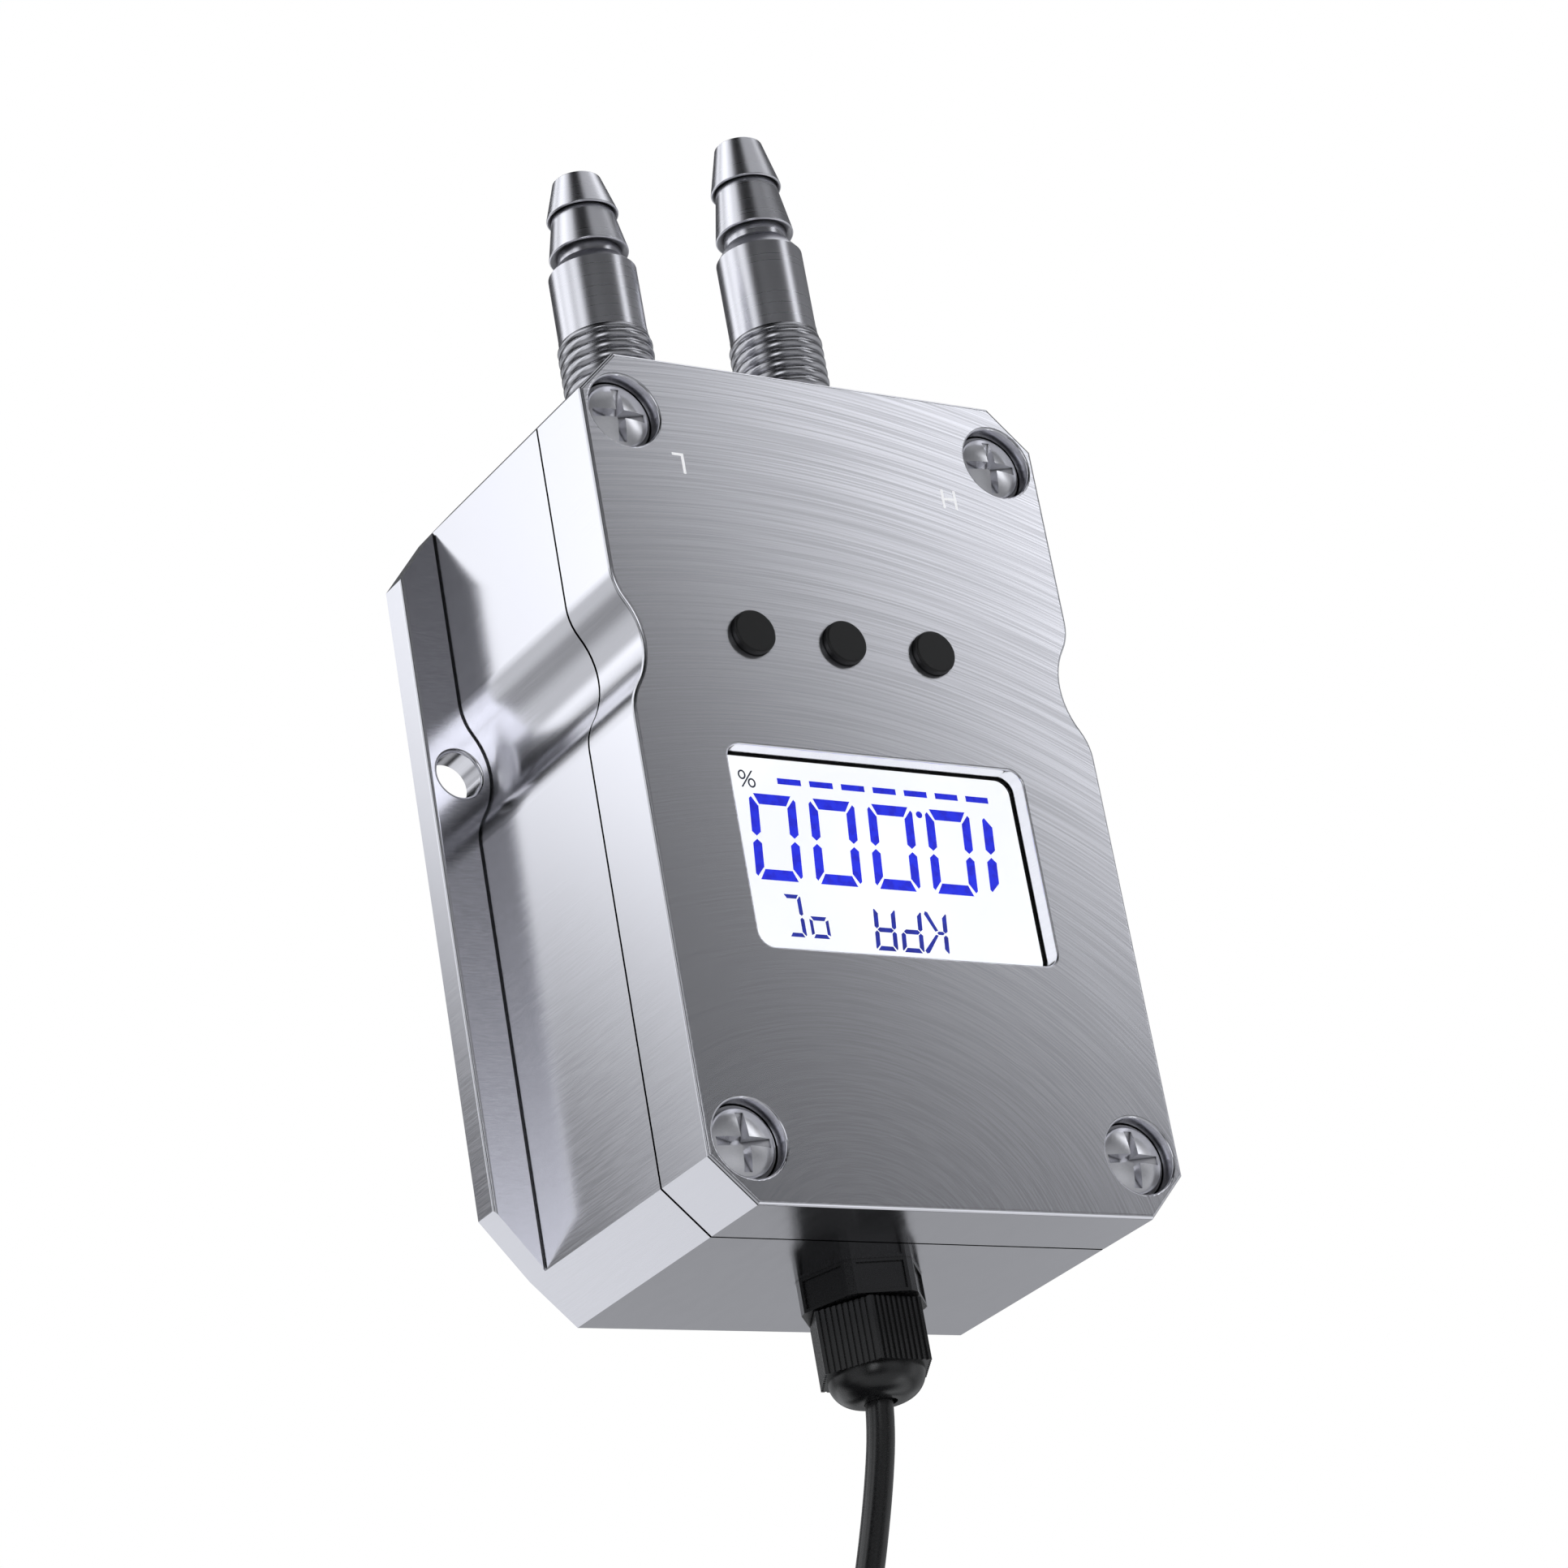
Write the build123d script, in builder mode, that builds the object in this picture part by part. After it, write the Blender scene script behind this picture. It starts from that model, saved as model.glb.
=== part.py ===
from build123d import *
import math
import os

# Differential pressure transmitter, millimetres.
# X to the right, -Y towards the viewer, Z up, with the barbs on top.
# The origin is on the wall, midway between the two fixing holes.

os.makedirs("parts", exist_ok=True)

# Housing
body_width = 76.0
body_height = 125.0
body_depth = 48.0
cover_depth = 12.4
corner_chamfer = 6.4
mount_height = 80.0
edge_round = 0.55
wall = 6.2
rear_wall = 4.4
port_block = 14.0

# Side flanges and their fixing holes
flange_width = 6.6
flange_thickness = 4.6
flange_slope = 8.4
fixing_hole = 7.0
fixing_inset = 4.9
fixing_edge_break = 0.5
junction_width = 0.3
junction_depth = 0.25

# Waist notch beside each fixing hole
waist_depth = 3.3
waist_radius = 11.4
waist_blend = 8.0

# Cover screws, M5 pan head in counterbores
screw_inset_x = 6.7
screw_inset_z = 9.05
screw_shank = 5.0
screw_play = 0.25
thread_play = 0.05
screw_bite = 11.0
tapped_spare = 3.0
head_diameter = 10.8
head_rim = 1.9
head_height = 3.4
head_sunk = 1.0
head_play = 0.15
sink_round = 0.35
dome_base = 9.9
dome_step = 0.6
dome_round = 0.5
dome_radius = 14.0
recess_span = 8.2
recess_slot = 1.25
recess_lead = 0.9
recess_depth = 2.4
recess_floor = 1.8

# Flat gasket between the halves, with a bead in a groove
gasket_thickness = 0.3
gasket_inset = 0.5
seal_inset = 3.2
seal_width = 1.6
seal_depth = 1.2
seal_corner_x = 9.4
seal_corner_z = 13.0
seal_round = 2.0
groove_play = 0.1

# Display window
front_wall = 2.8
window_width = 48.5
window_height = 29.6
window_corner = 2.2
window_drop = 11.3
window_round = 0.3
pane_thickness = 1.0
pane_overlap = 2.6
display_thickness = 2.8
backlight_thickness = 3.0
display_play = 0.1

# Buttons
button_diameter = 6.5
button_pitch = 14.9
button_shift = -1.95
button_rise = 20.5
button_proud = 1.1
button_round = 0.3
button_play = 0.08
button_lip = 1.05
button_flange_thickness = 1.0
button_stem = 3.0
button_travel = 0.6
press_gap = 0.1

# Boards
board_thickness = 1.6
display_board_margin = 4.3
display_post_gap = 0.8
main_board_margin = 5.3
main_board_room = 18.3
main_board_shift = -5.0
main_post_height = 6.0
post_diameter = 6.0
post_inset = 3.5
board_screw = 2.5
board_screw_play = 0.1
board_screw_length = 6.0
board_screw_head = 4.6
board_screw_head_height = 1.7
switch_size = 6.0
switch_height = 3.5
ribbon_inset = 10.5
ribbon_drop = 18.5
ribbon_step = 6.0
ribbon_straight = 6.0
ribbon_width = 12.7
ribbon_thickness = 0.8
ribbon_bend = 2.5

# Pressure ports
port_depth = 22.2
port_spacing = 30.4
short_port_ratio = 0.8
thread_core = 13.2
port_play = 0.1
thread_seat = 9.0
barb_bore = 4.0
spigot_diameter = 5.0
spigot_play = 0.2
spigot_length = 6.0
collar_diameter = 13.1
collar_start = 23.9
collar_length = 13.2
shoulder_length = 2.5
neck_diameter = 9.6
neck_length = 1.4
lower_barb_diameter = 12.0
lower_barb_length = 8.1
barb_waist_diameter = 9.3
upper_barb_diameter = 11.0
upper_barb_length = 7.9
barb_tip_diameter = 7.3
barb_undercut = 0.5
barb_round = 0.2

# Pressure sensor and its tubes
sensor_clearance = 0.7
sensor_height = 22.0
sensor_rise = 15.0
sensor_corner = 1.0
tube_length = 17.0
tube_wall = 1.5
tube_play = 0.05

# Cable gland, M12
gland_thread = 12.0
gland_play = 0.05
gland_hex = 16.1
gland_hex_turn = 17.5
gland_hex_height = 4.8
gland_corner_cut = 0.7
gland_panel_width = 6.9
gland_panel_height = 3.9
gland_panel_depth = 0.35
gland_inside = 12.0
sleeve_diameter = 10.4
sleeve_length = 5.4
sleeve_bore = 7.4
insert_play = 0.1
insert_flange = 9.4
insert_flange_thickness = 1.6
insert_reach = 7.0
washer_diameter = 17.0
washer_thickness = 1.0
lock_nut_hex = 17.0
lock_nut_height = 4.0
nut_hex = 14.5
nut_hex_turn = 32.0
nut_gap = 0.3
nut_height = 8.8
nut_play = 0.2
nut_mouth = 4.6
dome_diameter = 13.4
dome_height = 3.8
rib_count = 9
rib_pitch = 0.86
rib_gap = 0.42
rib_depth = 0.3

# Cable
cable_diameter = 3.9
cable_play = 0.05
lead_diameter = 1.2
lead_spread = 0.9
inner_cable_top = 17.0
terminal_width = 20.0
terminal_height = 11.0
terminal_depth = 14.0
terminal_gap = 4.0
terminal_pitch = 4.6
terminal_screw = 3.4
terminal_screw_depth = 1.2
coil_radius = 22.8
coil_centre_x = 1.0
coil_centre_y = -24.0
coil_centre_z = -170.0
coil_layers = 3
coil_corner = 1.7
lead_length = 12.0
ferrule_diameter = 1.5
ferrule_length = 7.0
tie_width = 3.0
tie_thickness = 1.0
tie_play = 0.1
tie_angles = (60, -60)

# Heights and depths that follow
bottom_z = -mount_height
top_z = body_height - mount_height
mid_z = (bottom_z + top_z) / 2
parting_depth = body_depth - cover_depth
cover_back = parting_depth + gasket_thickness
waist_rise = -mid_z
pane_front = body_depth - front_wall
display_front = pane_front - pane_thickness
backlight_front = display_front - display_thickness
display_board_front = backlight_front - backlight_thickness
main_board_back = rear_wall + main_post_height
main_board_front = main_board_back + board_thickness
window_z = mid_z - window_drop
button_z = mid_z + button_rise
button_xs = [button_shift + step * button_pitch for step in (-1, 0, 1)]
ribbon_z = mid_z - ribbon_drop
fixing_spacing = body_width + 2 * (flange_width - fixing_inset)
screw_spacing_x = body_width - 2 * screw_inset_x
screw_spacing_z = body_height - 2 * screw_inset_z
screw_hole = screw_shank + 2 * screw_play
counterbore = head_diameter + 2 * head_play
cavity_width = body_width - 2 * wall
cavity_height = body_height - 2 * wall
display_board_width = cavity_width - 2 * display_board_margin
display_post_x = display_board_width - 2 * post_inset
post_reach = post_diameter / 2 + display_post_gap
lower_post_z = window_z - window_height / 2 - pane_overlap - post_reach
upper_post_z = button_z + switch_size / 2 + post_reach
display_board_z = (lower_post_z + upper_post_z) / 2
display_post_z = upper_post_z - lower_post_z
display_board_height = display_post_z + 2 * post_inset
main_board_width = cavity_width - 2 * main_board_margin
main_board_height = cavity_height - 2 * main_board_room
main_post_x = main_board_width - 2 * post_inset
main_post_z = main_board_height - 2 * post_inset
main_board_z = mid_z + main_board_shift
ribbon_x = main_board_width / 2 - ribbon_inset
sensor_width = main_post_x - board_screw_head - 2 * sensor_clearance
board_screw_hole = board_screw + 2 * board_screw_play
nut_bore = sleeve_diameter + 2 * nut_play
gland_hole = gland_thread + 2 * gland_play

# Reach of a selector round an edge that it looks for
hair = 0.01


def front_plane(depth, height=mid_z, across=0.0):
    """A plane that faces the viewer, depth in front of the wall."""
    return Plane(origin=(across, -depth, height), x_dir=(1, 0, 0), z_dir=(0, -1, 0))


def back_plane(depth, height=mid_z, across=0.0):
    """A plane that faces the wall, depth in front of it."""
    return Plane(origin=(across, -depth, height), x_dir=(-1, 0, 0), z_dir=(0, 1, 0))


def floor_plane(height, across=0.0):
    """A plane that faces up, centred on the line of the ports and the gland."""
    return Plane(origin=(across, -port_depth, height), x_dir=(1, 0, 0), z_dir=(0, 0, 1))


def keep(part, name):
    """Label a finished piece and write it."""
    part.part.label = name
    export_step(part.part, "parts/" + name + ".step")


def housing_outline():
    """The front outline: chamfered corners and a blended waist in each long side."""
    with BuildSketch(Plane.XY) as outline:
        Rectangle(body_width, body_height)
        chamfer(outline.vertices(), corner_chamfer)
        waist_x = body_width / 2 - waist_depth + waist_radius
        with Locations((-waist_x, waist_rise), (waist_x, waist_rise)):
            Circle(waist_radius, mode=Mode.SUBTRACT)
        reach = waist_radius + 1
        mouths = outline.vertices().filter_by_position(Axis.Y, waist_rise - reach, waist_rise + reach)
        fillet(mouths, waist_blend)
    return outline.sketch


def seal_outline(inset):
    """The outline moved in by inset and stepped round the screw corners."""
    with BuildSketch(Plane.XY) as region:
        add(housing_outline())
        offset(amount=-seal_inset, kind=Kind.INTERSECTION)
        with GridLocations(screw_spacing_x, screw_spacing_z, 2, 2):
            Rectangle(seal_corner_x, seal_corner_z, mode=Mode.SUBTRACT)
        high = screw_spacing_z / 2 - seal_corner_z / 2 - 1
        corners = region.vertices().filter_by_position(Axis.Y, high, body_height)
        corners += region.vertices().filter_by_position(Axis.Y, -body_height, -high)
        fillet(corners, seal_round)
        if inset > seal_inset:
            offset(amount=seal_inset - inset, kind=Kind.INTERSECTION)
    return region.sketch


# The rear half: flanged plate, waisted body, cavity, posts, ports and tapped holes
with BuildPart() as base_housing:
    with BuildSketch(front_plane(0)) as plate:
        Rectangle(body_width, body_height)
        chamfer(plate.vertices(), corner_chamfer)
        half_width = body_width / 2
        meet = body_height / 2 - corner_chamfer
        with BuildLine():
            Polyline(
                (half_width, meet),
                (half_width + flange_width, meet - flange_slope),
                (half_width + flange_width, flange_slope - meet),
                (half_width, -meet),
                close=True,
            )
        make_face()
        mirror(about=Plane.YZ)
    extrude(amount=flange_thickness)
    outer_edges = base_housing.faces().sort_by(Axis.Y)[0].edges()
    long_edges = outer_edges.filter_by(Axis.Z)
    fillet(long_edges.sort_by(Axis.X)[0], edge_round)
    fillet(base_housing.faces().sort_by(Axis.Y)[0].edges().sort_by(Axis.X)[-1], edge_round)
    with BuildSketch(front_plane(0)):
        add(housing_outline())
    extrude(amount=parting_depth)
    with BuildSketch(front_plane(flange_thickness)) as junction:
        add(housing_outline())
        offset(amount=junction_width, kind=Kind.INTERSECTION)
        add(housing_outline(), mode=Mode.SUBTRACT)
    extrude(amount=-junction_depth, mode=Mode.SUBTRACT)
    with BuildSketch(front_plane(rear_wall)):
        add(seal_outline(wall))
        with Locations((0, body_height / 2)):
            Rectangle(body_width, 2 * port_block, mode=Mode.SUBTRACT)
    extrude(amount=parting_depth - rear_wall, mode=Mode.SUBTRACT)
    with BuildSketch(front_plane(parting_depth)):
        add(seal_outline(seal_inset))
        add(seal_outline(seal_inset + seal_width), mode=Mode.SUBTRACT)
    extrude(amount=-seal_depth, mode=Mode.SUBTRACT)
    with BuildSketch(front_plane(rear_wall, main_board_z)):
        with GridLocations(main_post_x, main_post_z, 2, 2):
            Circle(post_diameter / 2)
    extrude(amount=main_post_height)
    with BuildSketch(front_plane(main_board_back, main_board_z)):
        with GridLocations(main_post_x, main_post_z, 2, 2):
            Circle(board_screw_hole / 2)
    extrude(amount=-board_screw_length, mode=Mode.SUBTRACT)
    with BuildSketch(front_plane(parting_depth)):
        with GridLocations(screw_spacing_x, screw_spacing_z, 2, 2):
            Circle(screw_shank / 2 + thread_play)
    extrude(amount=-screw_bite - tapped_spare, mode=Mode.SUBTRACT)
    with BuildSketch(front_plane(0, 0)):
        with GridLocations(fixing_spacing, 0, 2, 1):
            Circle(fixing_hole / 2)
    extrude(amount=flange_thickness, mode=Mode.SUBTRACT)
    rims = base_housing.edges().filter_by(GeomType.CIRCLE)
    rims = rims.filter_by(lambda rim: abs(rim.radius - fixing_hole / 2) < hair)
    fillet(rims.group_by(Axis.Y)[0], fixing_edge_break)
    with BuildSketch(floor_plane(top_z)):
        with GridLocations(port_spacing, 0, 2, 1):
            Circle(thread_core / 2 + port_play)
    extrude(amount=-thread_seat, mode=Mode.SUBTRACT)
    with BuildSketch(floor_plane(top_z)):
        with GridLocations(port_spacing, 0, 2, 1):
            Circle(spigot_diameter / 2 + spigot_play)
    extrude(amount=-port_block, mode=Mode.SUBTRACT)
    with BuildSketch(floor_plane(bottom_z)):
        Circle(gland_hole / 2)
    extrude(amount=wall, mode=Mode.SUBTRACT)
keep(base_housing, "base_housing")

# The front cover: window, button bores, counterbored screw holes and board posts
with BuildPart() as front_cover:
    with BuildSketch(front_plane(cover_back)):
        add(housing_outline())
    extrude(amount=body_depth - cover_back)
    fillet(front_cover.faces().sort_by(Axis.Y)[0].edges(), edge_round)
    with BuildSketch(front_plane(cover_back)):
        add(seal_outline(wall))
    extrude(amount=pane_front - cover_back, mode=Mode.SUBTRACT)
    with BuildSketch(front_plane(body_depth, window_z)):
        RectangleRounded(window_width, window_height, window_corner)
    extrude(amount=-front_wall, mode=Mode.SUBTRACT)
    fillet(front_cover.faces().sort_by(Axis.Y)[0].inner_wires().edges(), window_round)
    with BuildSketch(front_plane(body_depth, button_z)):
        with Locations(*[(x, 0) for x in button_xs]):
            Circle(button_diameter / 2 + button_play)
    extrude(amount=-front_wall, mode=Mode.SUBTRACT)
    with BuildSketch(front_plane(body_depth)):
        with GridLocations(screw_spacing_x, screw_spacing_z, 2, 2):
            Circle(screw_hole / 2)
    extrude(amount=-cover_depth, mode=Mode.SUBTRACT)
    with BuildSketch(front_plane(body_depth)):
        with GridLocations(screw_spacing_x, screw_spacing_z, 2, 2):
            Circle(counterbore / 2)
    extrude(amount=-head_sunk - head_height, mode=Mode.SUBTRACT)
    sinks = front_cover.edges().filter_by(GeomType.CIRCLE).group_by(Axis.Y)[0]
    fillet(sinks.filter_by(lambda rim: abs(rim.radius - counterbore / 2) < hair), sink_round)
    with BuildSketch(front_plane(pane_front, display_board_z)):
        with GridLocations(display_post_x, display_post_z, 2, 2):
            Circle(post_diameter / 2)
    extrude(amount=display_board_front - pane_front)
    with BuildSketch(front_plane(display_board_front, display_board_z)):
        with GridLocations(display_post_x, display_post_z, 2, 2):
            Circle(board_screw_hole / 2)
    extrude(amount=board_screw_length, mode=Mode.SUBTRACT)
keep(front_cover, "front_cover")

# The rubber gasket lies between the halves, and its bead fills the groove
with BuildPart() as cover_gasket:
    with BuildSketch(front_plane(parting_depth)):
        add(housing_outline())
        offset(amount=-gasket_inset, kind=Kind.INTERSECTION)
        add(seal_outline(wall), mode=Mode.SUBTRACT)
        with GridLocations(screw_spacing_x, screw_spacing_z, 2, 2):
            Circle(screw_hole / 2, mode=Mode.SUBTRACT)
    extrude(amount=gasket_thickness)
    with BuildSketch(front_plane(parting_depth - seal_depth)):
        add(seal_outline(seal_inset + groove_play))
        add(seal_outline(seal_inset + seal_width - groove_play), mode=Mode.SUBTRACT)
    extrude(amount=seal_depth)
keep(cover_gasket, "cover_gasket")


# One M5 pan-head screw on the Z axis, set into the four corners
head_top = body_depth - head_sunk
head_seat = head_top - head_height
dome_foot = head_seat + head_rim
dome_shoulder = dome_foot + dome_step
shank_end = parting_depth - screw_bite
with BuildPart() as pan_screw:
    with BuildSketch(Plane.XZ):
        with BuildLine():
            Polyline(
                (0, head_top),
                (0, shank_end),
                (screw_shank / 2, shank_end),
                (screw_shank / 2, head_seat),
                (head_diameter / 2, head_seat),
                (head_diameter / 2, dome_foot),
                (dome_base / 2, dome_foot),
                (dome_base / 2, dome_shoulder),
            )
            RadiusArc((dome_base / 2, dome_shoulder), (0, head_top), -dome_radius)
        make_face()
    revolve(axis=Axis.Z)
    circles = pan_screw.edges().filter_by(GeomType.CIRCLE)
    fillet(circles.filter_by_position(Axis.Z, dome_shoulder - hair, dome_shoulder + hair), dome_round)
    for slot_plane in (Plane.XZ, Plane.YZ):
        with BuildSketch(slot_plane):
            with BuildLine():
                Polyline(
                    (-recess_span / 2, head_top),
                    (-recess_span / 2, head_top - recess_lead),
                    (-recess_floor / 2, head_top - recess_depth),
                    (recess_floor / 2, head_top - recess_depth),
                    (recess_span / 2, head_top - recess_lead),
                    (recess_span / 2, head_top),
                    close=True,
                )
            make_face()
        extrude(amount=recess_slot / 2, both=True, mode=Mode.SUBTRACT)

with BuildPart() as cover_screws:
    with Locations(front_plane(0)):
        with GridLocations(screw_spacing_x, screw_spacing_z, 2, 2):
            add(pan_screw.part)
keep(cover_screws, "cover_screws")

# Display stack behind the window: pane, black bezel, panel and backlight
with BuildPart() as window_pane:
    with BuildSketch(front_plane(pane_front, window_z)):
        Rectangle(window_width + 2 * pane_overlap, window_height + 2 * pane_overlap)
    extrude(amount=-pane_thickness)
keep(window_pane, "window_pane")

with BuildPart() as display_bezel:
    with BuildSketch(front_plane(display_front, window_z)):
        Rectangle(window_width + 2 * pane_overlap, window_height + 2 * pane_overlap)
        RectangleRounded(window_width, window_height, window_corner, mode=Mode.SUBTRACT)
    extrude(amount=-display_thickness)
keep(display_bezel, "display_bezel")

with BuildPart() as display_panel:
    with BuildSketch(front_plane(display_front, window_z)):
        panel_play = 2 * display_play
        RectangleRounded(window_width - panel_play, window_height - panel_play, window_corner)
    extrude(amount=-display_thickness)
keep(display_panel, "display_panel")

with BuildPart() as display_backlight:
    with BuildSketch(front_plane(backlight_front, window_z)):
        Rectangle(window_width + pane_overlap, window_height + pane_overlap)
    extrude(amount=-backlight_thickness)
keep(display_backlight, "display_backlight")

# Boards
with BuildPart() as display_board:
    with BuildSketch(front_plane(display_board_front, display_board_z)):
        Rectangle(display_board_width, display_board_height)
        with GridLocations(display_post_x, display_post_z, 2, 2):
            Circle(board_screw_hole / 2, mode=Mode.SUBTRACT)
    extrude(amount=-board_thickness)
keep(display_board, "display_board")

with BuildPart() as main_board:
    with BuildSketch(front_plane(main_board_back, main_board_z)):
        Rectangle(main_board_width, main_board_height)
        with GridLocations(main_post_x, main_post_z, 2, 2):
            Circle(board_screw_hole / 2, mode=Mode.SUBTRACT)
    extrude(amount=board_thickness)
keep(main_board, "main_board")

with BuildPart() as display_board_screws:
    board_back = display_board_front - board_thickness
    with BuildSketch(back_plane(board_back, display_board_z)):
        with GridLocations(display_post_x, display_post_z, 2, 2):
            Circle(board_screw_head / 2)
    extrude(amount=board_screw_head_height)
    with BuildSketch(back_plane(board_back, display_board_z)):
        with GridLocations(display_post_x, display_post_z, 2, 2):
            Circle(board_screw / 2)
    extrude(amount=-board_screw_length)
keep(display_board_screws, "display_board_screws")

with BuildPart() as main_board_screws:
    with BuildSketch(front_plane(main_board_front, main_board_z)):
        with GridLocations(main_post_x, main_post_z, 2, 2):
            Circle(board_screw_head / 2)
    extrude(amount=board_screw_head_height)
    with BuildSketch(front_plane(main_board_front, main_board_z)):
        with GridLocations(main_post_x, main_post_z, 2, 2):
            Circle(board_screw / 2)
    extrude(amount=-board_screw_length)
keep(main_board_screws, "main_board_screws")

# Buttons: a cap through the cover, a flange that stops behind it and a stem
switch_top = pane_front - button_flange_thickness - press_gap - button_travel
for number, button_x in enumerate(button_xs, 1):
    with BuildPart() as button:
        with BuildSketch(front_plane(pane_front, button_z, button_x)):
            Circle(button_diameter / 2)
        extrude(amount=front_wall + button_proud)
        fillet(button.faces().sort_by(Axis.Y)[0].edges(), button_round)
        with BuildSketch(front_plane(pane_front, button_z, button_x)):
            Circle(button_diameter / 2 + button_lip)
        extrude(amount=-button_flange_thickness)
    keep(button, "button_" + str(number))

with BuildPart() as tact_switches:
    with BuildSketch(front_plane(display_board_front, button_z)):
        with Locations(*[(x, 0) for x in button_xs]):
            Rectangle(switch_size, switch_size)
    extrude(amount=switch_height)
    with BuildSketch(front_plane(display_board_front, button_z)):
        with Locations(*[(x, 0) for x in button_xs]):
            Circle(button_stem / 2)
    extrude(amount=switch_top - display_board_front)
keep(tact_switches, "tact_switches")


def hose_barb(side, ratio):
    """One turned barb, from its inner spigot to its tip, with a through bore."""
    axis_x = side * port_spacing / 2
    collar_end = collar_start + collar_length
    neck_start = collar_end + shoulder_length
    lower_rim = neck_start + neck_length
    upper_rim = lower_rim + lower_barb_length
    tip = upper_rim + upper_barb_length
    with BuildPart() as barb:
        with BuildSketch(front_plane(port_depth, top_z, axis_x)):
            with BuildLine():
                Polyline(
                    (barb_bore / 2, -port_block - spigot_length),
                    (spigot_diameter / 2, -port_block - spigot_length),
                    (spigot_diameter / 2, -thread_seat),
                    (thread_core / 2, -thread_seat),
                    (thread_core / 2, collar_start * ratio),
                    (collar_diameter / 2, collar_start * ratio),
                    (collar_diameter / 2, collar_end * ratio),
                    (neck_diameter / 2, neck_start * ratio),
                    (neck_diameter / 2, (lower_rim + barb_undercut) * ratio),
                    (lower_barb_diameter / 2, lower_rim * ratio),
                    (barb_waist_diameter / 2, (upper_rim + barb_undercut) * ratio),
                    (upper_barb_diameter / 2, upper_rim * ratio),
                    (barb_tip_diameter / 2, tip * ratio),
                    (barb_bore / 2, tip * ratio),
                    close=True,
                )
            make_face()
        revolve(axis=Axis((axis_x, -port_depth, 0), (0, 0, 1)))
        turned = barb.edges().filter_by(GeomType.CIRCLE)
        for height in (lower_rim, upper_rim, tip):
            level = top_z + height * ratio
            rims = turned.filter_by_position(Axis.Z, level - hair, level + hair)
            fillet(rims.sort_by(SortBy.RADIUS)[-1], barb_round)
    return barb


keep(hose_barb(-1, short_port_ratio), "hose_barb_low")
keep(hose_barb(1, 1.0), "hose_barb_high")

# The sensor stands on the main board with its ports under the barbs
sensor_top = top_z - port_block - tube_length
with BuildPart() as pressure_sensor:
    sensor_z = sensor_top - sensor_height / 2
    with BuildSketch(front_plane(main_board_front, sensor_z)):
        RectangleRounded(sensor_width, sensor_height, sensor_corner)
    extrude(amount=sensor_rise)
    with BuildSketch(floor_plane(sensor_top)):
        with GridLocations(port_spacing, 0, 2, 1):
            Circle(spigot_diameter / 2)
            Circle(barb_bore / 2, mode=Mode.SUBTRACT)
    extrude(amount=spigot_length)
keep(pressure_sensor, "pressure_sensor")

for side, name in ((-1, "sensor_tube_low"), (1, "sensor_tube_high")):
    with BuildPart() as tube:
        with BuildSketch(floor_plane(sensor_top, side * port_spacing / 2)):
            Circle(spigot_diameter / 2 + tube_play + tube_wall)
            Circle(spigot_diameter / 2 + tube_play, mode=Mode.SUBTRACT)
        extrude(amount=tube_length)
    keep(tube, name)

# Cable gland: body with sunk panels, seal insert, ribbed dome nut, washer and lock nut
hex_bottom = bottom_z - gland_hex_height
sleeve_end = hex_bottom - sleeve_length
insert_end = sleeve_end - insert_flange_thickness
nut_top = hex_bottom - nut_gap
dome_top = nut_top - nut_height
mouth_z = dome_top - dome_height
inner_wall_z = bottom_z + wall
with BuildPart() as gland_body:
    with BuildSketch(floor_plane(hex_bottom)) as hexagon:
        RegularPolygon(gland_hex / 2, 6, major_radius=False, rotation=gland_hex_turn + 30)
        chamfer(hexagon.vertices(), gland_corner_cut)
    extrude(amount=gland_hex_height)
    for turn in range(6):
        angle = math.radians(gland_hex_turn + 60 * turn)
        outward = Vector(math.cos(angle), math.sin(angle), 0)
        middle = Vector(0, -port_depth, (bottom_z + hex_bottom) / 2) + outward * (gland_hex / 2)
        with BuildSketch(Plane(origin=middle, x_dir=outward.cross(Vector(0, 0, 1)), z_dir=outward)):
            Rectangle(gland_panel_width, gland_panel_height)
        extrude(amount=-gland_panel_depth, mode=Mode.SUBTRACT)
    with BuildSketch(floor_plane(bottom_z)):
        Circle(gland_thread / 2)
    extrude(amount=gland_inside)
    with BuildSketch(floor_plane(hex_bottom)):
        Circle(sleeve_diameter / 2)
    extrude(amount=-sleeve_length)
    with BuildSketch(floor_plane(sleeve_end)):
        Circle(sleeve_bore / 2)
    extrude(amount=sleeve_length + gland_hex_height + gland_inside, mode=Mode.SUBTRACT)
keep(gland_body, "gland_body")

with BuildPart() as gland_insert:
    with BuildSketch(floor_plane(sleeve_end)):
        Circle(sleeve_bore / 2 - insert_play)
    extrude(amount=insert_reach)
    with BuildSketch(floor_plane(insert_end)):
        Circle(insert_flange / 2)
    extrude(amount=insert_flange_thickness)
    with BuildSketch(floor_plane(insert_end)):
        Circle(cable_diameter / 2 + cable_play)
    extrude(amount=insert_flange_thickness + insert_reach, mode=Mode.SUBTRACT)
keep(gland_insert, "gland_insert")

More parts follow.
